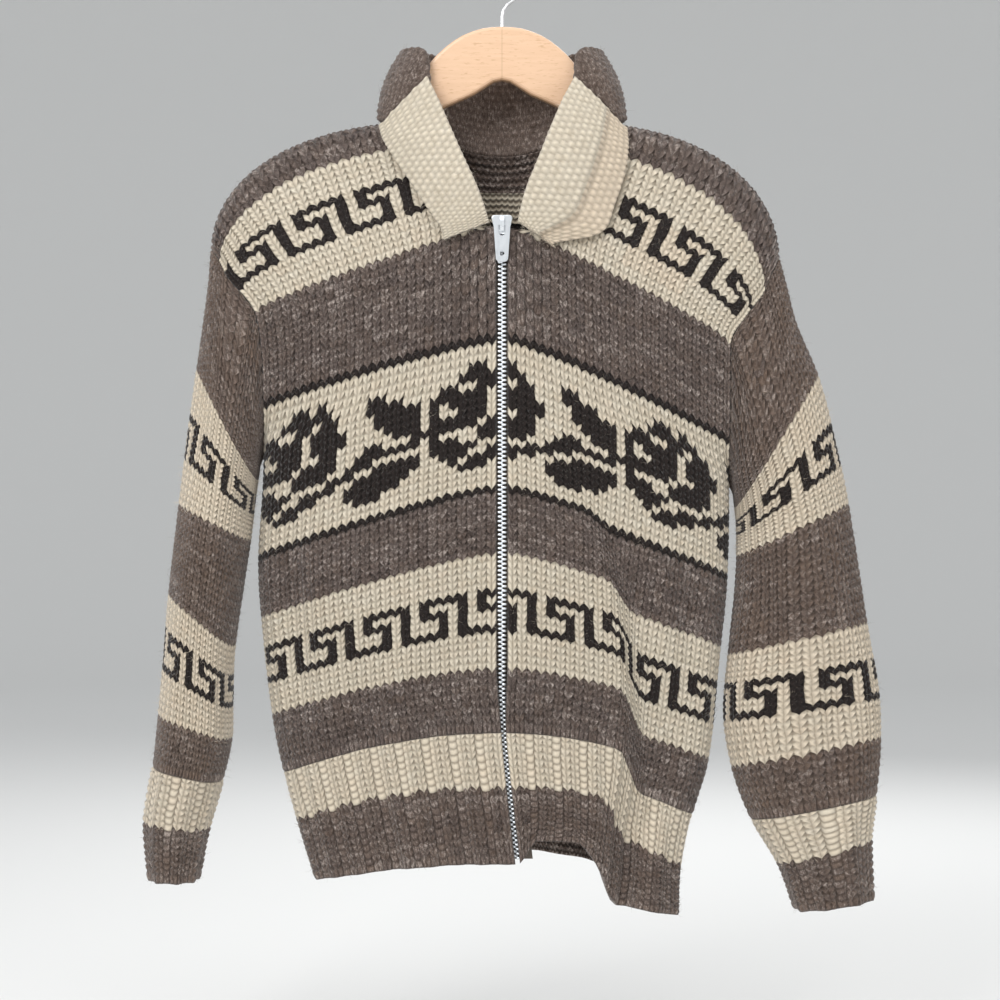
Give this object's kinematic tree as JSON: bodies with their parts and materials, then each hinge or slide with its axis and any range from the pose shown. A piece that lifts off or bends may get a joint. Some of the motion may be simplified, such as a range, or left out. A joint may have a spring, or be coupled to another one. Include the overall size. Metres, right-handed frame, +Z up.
{
  "type": "zip cardigan on clothes hanger",
  "caption": "Heavy patterned hand-knit wool zip cardigan with a shawl collar and ribbed hem and cuffs, hanging on a wooden hanger with a wire hook.",
  "frame": {"origin": "inside top of the hanger's hook, where it rests on a rail", "axes": "+Z up, the cardigan's front faces -Y, the wearer's left side is at +X; the body hangs straight down from the origin"},
  "size_m": [0.6689, 0.1126, 0.874],
  "materials": {
    "grey_wool": "heather grey-brown hand-knit wool",
    "cream_wool": "cream hand-knit wool",
    "zip_tape": "woven tape",
    "zip_metal": "polished white metal",
    "beech": "lacquered beech",
    "steel": "zinc-plated wire"
  },
  "bodies": {
    "garment": {"back": "grey_wool", "front_left": "grey_wool", "front_right": "grey_wool", "hem_rib_back": "grey_wool", "hem_rib_left": "grey_wool", "hem_rib_right": "grey_wool", "sleeve_left": "grey_wool", "sleeve_right": "grey_wool", "cuff_left": "grey_wool", "cuff_right": "grey_wool", "lapel_left": "cream_wool", "lapel_right": "cream_wool", "collar_back": "grey_wool", "zip_chain": "zip_metal", "zip_tape_left": "zip_tape", "zip_tape_right": "zip_tape", "zip_slider": "zip_metal", "hanger_wood": "beech", "hanger_hook": "steel"},
    "pull_tab": {"zip_pull_tab": "zip_metal"}
  },
  "joints": [
    {"name": "tab_swing", "type": "hinge", "parent": "garment", "child": "pull_tab", "pos_m": [0, -0.0429, -0.2486], "axis": [-1, 0, 0], "range_deg": [0, 150]}
  ]
}
